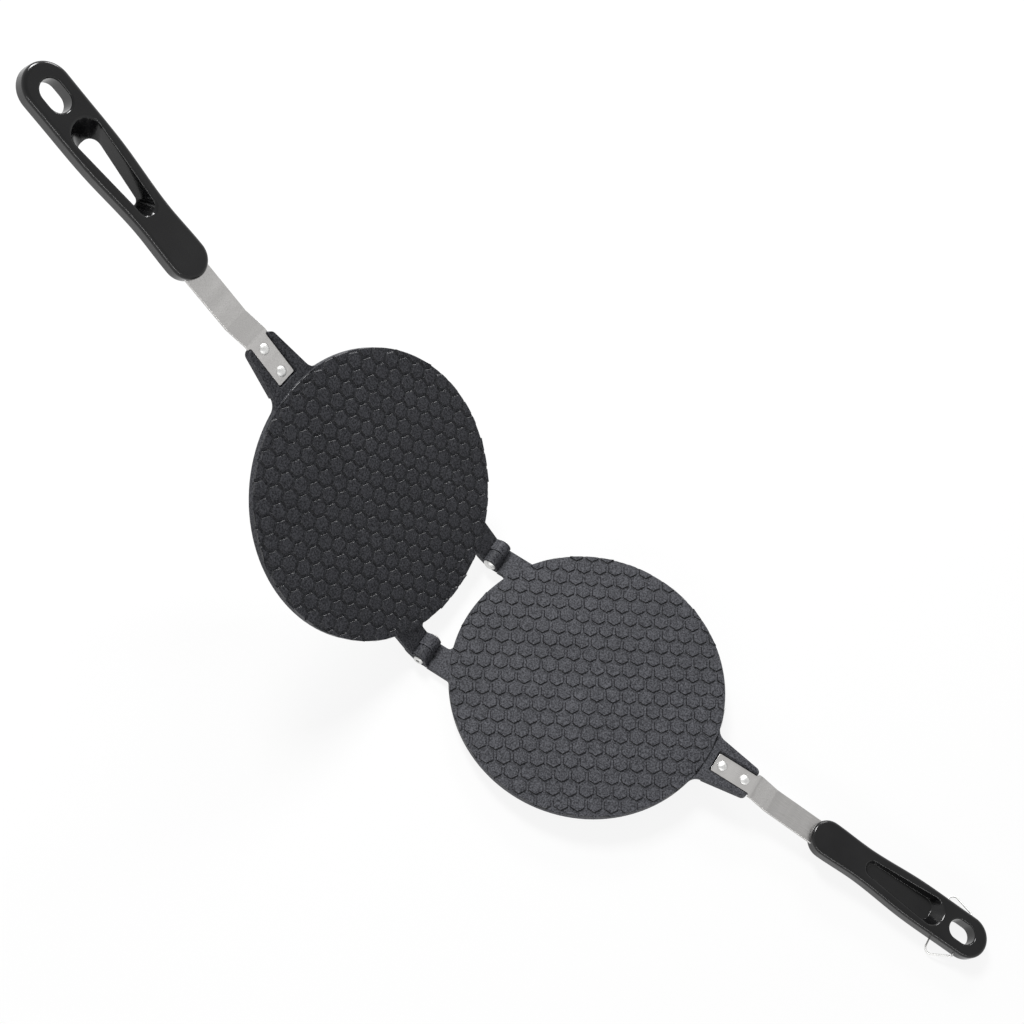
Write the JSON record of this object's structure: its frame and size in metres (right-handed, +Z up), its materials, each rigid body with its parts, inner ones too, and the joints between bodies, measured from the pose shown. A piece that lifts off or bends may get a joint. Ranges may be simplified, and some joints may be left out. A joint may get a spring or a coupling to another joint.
{
  "type": "egg roll pan",
  "caption": "Hinged pair of round cast plates with raised hexagon cooking faces, steel straps and long moulded handles with hanging holes.",
  "frame": {"origin": "on the table, under the middle of the open pan's bounding box", "axes": "+X along the lower handle, away from the hinge; +Y along the hinge axis; +Z up from the table, with the pan open against its stops"},
  "size_m": [0.706, 0.18, 0.2718],
  "materials": {
    "coated_casting": "cast aluminium with a matte dark non-stick coating",
    "strap_steel": "brushed stainless strip",
    "bright_steel": "bright drawn steel",
    "handle_moulding": "black thermoset, satin gloss"
  },
  "bodies": {
    "lower_half": {"lower_plate": "coated_casting", "lower_strap": "strap_steel", "lower_rivet_inner": "bright_steel", "lower_rivet_outer": "bright_steel", "lower_handle": "handle_moulding", "hinge_pin_left": "bright_steel", "hinge_pin_right": "bright_steel"},
    "upper_half": {"upper_plate": "coated_casting", "upper_strap": "strap_steel", "upper_rivet_inner": "bright_steel", "upper_rivet_outer": "bright_steel", "upper_handle": "handle_moulding"},
    "clip": {"wire_clip": "bright_steel"}
  },
  "joints": [
    {"name": "plate_hinge", "type": "hinge", "parent": "lower_half", "child": "upper_half", "pos_m": [-0.04747, 0, 0.00655], "axis": [0, 1, 0], "range_deg": [0, 131.5]},
    {"name": "clip_swing", "type": "hinge", "parent": "lower_half", "child": "clip", "pos_m": [0.33719, -0.00154, 0.00631], "axis": [-0.0104, -0.9999, -0.0008], "range_deg": [0, 314]}
  ]
}
